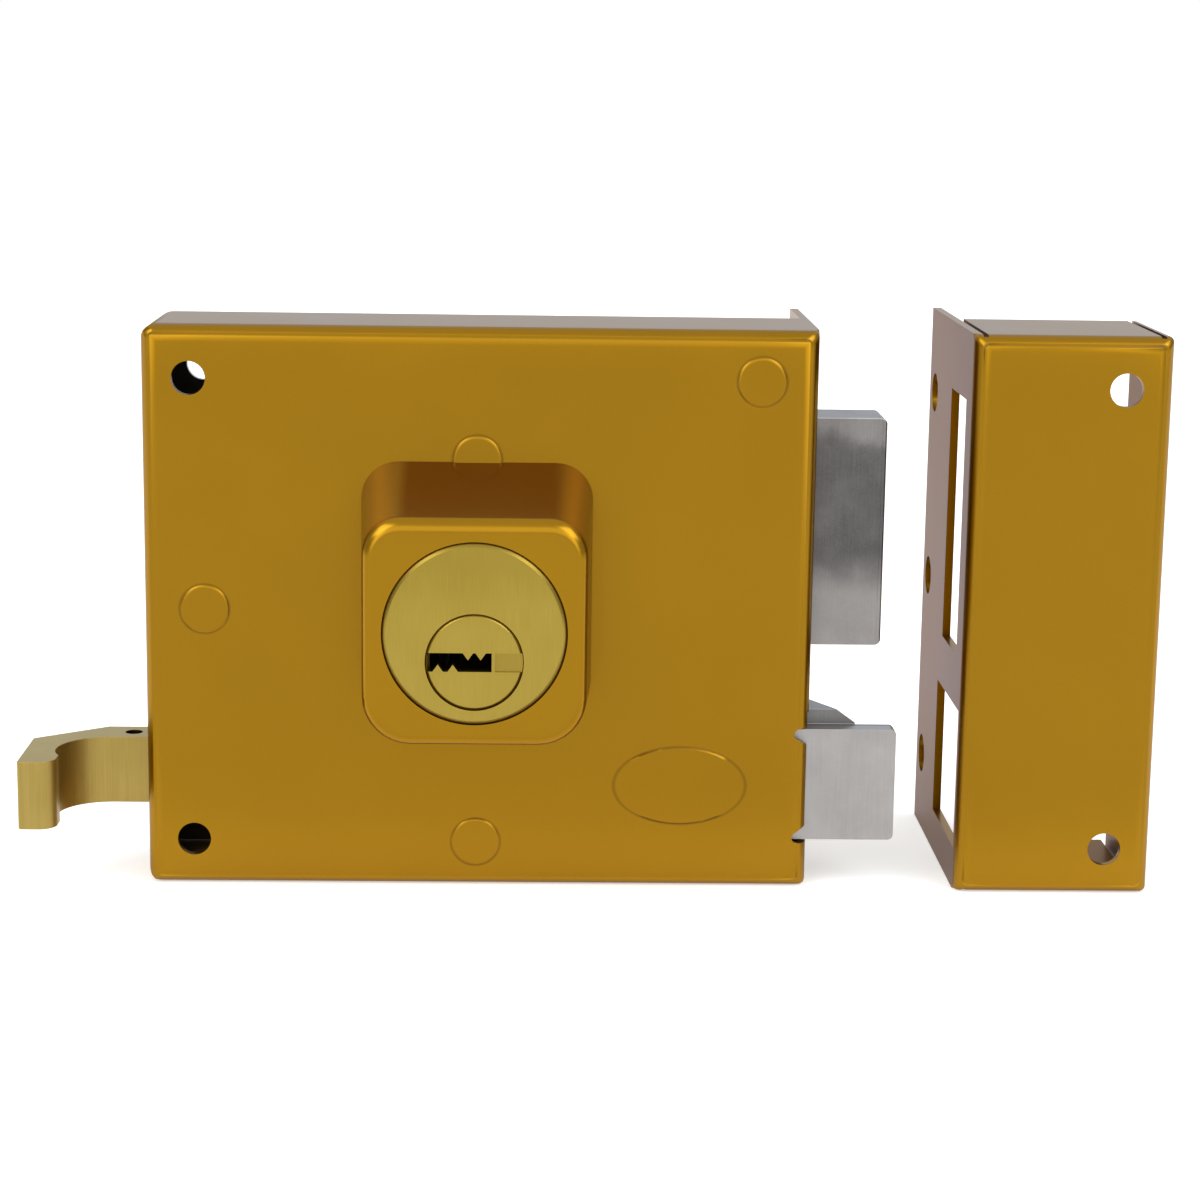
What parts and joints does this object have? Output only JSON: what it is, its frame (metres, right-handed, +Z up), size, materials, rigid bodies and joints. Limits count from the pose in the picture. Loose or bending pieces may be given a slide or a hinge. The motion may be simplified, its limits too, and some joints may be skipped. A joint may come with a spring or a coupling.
{
  "type": "rim box lock",
  "caption": "Rim box lock: folded case with a key cylinder in a raised boss, dead bolt, spring latch with a hook pull, and a separate strike box.",
  "frame": {"origin": "on the cylinder axis, at the door's plane, which is the rear face of the back plate", "axes": "+X towards the bolts and the strike, +Y into the door, away from the viewer, +Z up"},
  "size_m": [0.2045, 0.0714, 0.102],
  "materials": {
    "gold_paint": "satin metallic gold paint on folded steel sheet",
    "boss_paint": "satin metallic gold paint on a casting",
    "cylinder_brass": "brushed brass",
    "pull_brass": "satin drawn brass",
    "cast_zinc": "ground zinc casting",
    "zinc_plate": "zinc-plated steel",
    "bright_steel": "bright turned steel"
  },
  "bodies": {
    "case": {"lock_case": "gold_paint", "back_plate": "zinc_plate", "pillars": "gold_paint", "back_plate_screws": "zinc_plate", "cylinder_boss": "boss_paint", "boss_screws": "bright_steel", "cylinder_body": "cylinder_brass", "driver_pins": "bright_steel", "pin_springs": "bright_steel", "pin_caps": "cylinder_brass", "guide_stud": "bright_steel", "bolt_spring": "bright_steel", "spring_stud": "bright_steel", "lever_stud": "bright_steel", "lever_clip": "bright_steel", "spring_bracket": "zinc_plate", "bracket_rivet": "bright_steel", "latch_spring": "bright_steel", "strike_box": "gold_paint"},
    "key_plug": {"plug": "cylinder_brass", "key_pins": "cylinder_brass", "drive_cam": "zinc_plate", "cam_screws": "bright_steel"},
    "dead_bolt": {"dead_bolt_head": "cast_zinc", "dead_bolt_tail": "zinc_plate", "tail_rivets": "bright_steel"},
    "latch": {"latch_bolt": "cast_zinc", "latch_bar": "zinc_plate", "latch_rivets": "bright_steel", "lever_pin": "bright_steel", "spring_rod": "bright_steel", "pull_handle": "pull_brass", "pull_pin": "bright_steel"},
    "lever": {"latch_lever": "zinc_plate"}
  },
  "joints": [
    {"name": "key_turn", "type": "hinge", "parent": "case", "child": "key_plug", "pos_m": [0, -0.0136, -0.0049], "axis": [0, -1, 0], "range_deg": [0, 90.02]},
    {"name": "bolt_slide", "type": "slide", "parent": "case", "child": "dead_bolt", "axis": [-1, 0, 0], "range_m": [0, 0.0135]},
    {"name": "latch_slide", "type": "slide", "parent": "case", "child": "latch", "axis": [-1, 0, 0], "range_m": [0, 0.016], "stiffness_N_per_m": 250, "springref_m": -0.02, "deforming": ["latch_spring"]},
    {"name": "lever_turn", "type": "hinge", "parent": "case", "child": "lever", "pos_m": [-0.03, -0.0123, -0.0041], "axis": [0, 1, 0], "range_deg": [0, 31.17]}
  ],
  "couplings": [
    {"joint": "key_turn", "follows": "bolt_slide", "rad_per_m": 116.36},
    {"joint": "lever_turn", "follows": "latch_slide", "rad_per_m": 33.981}
  ]
}
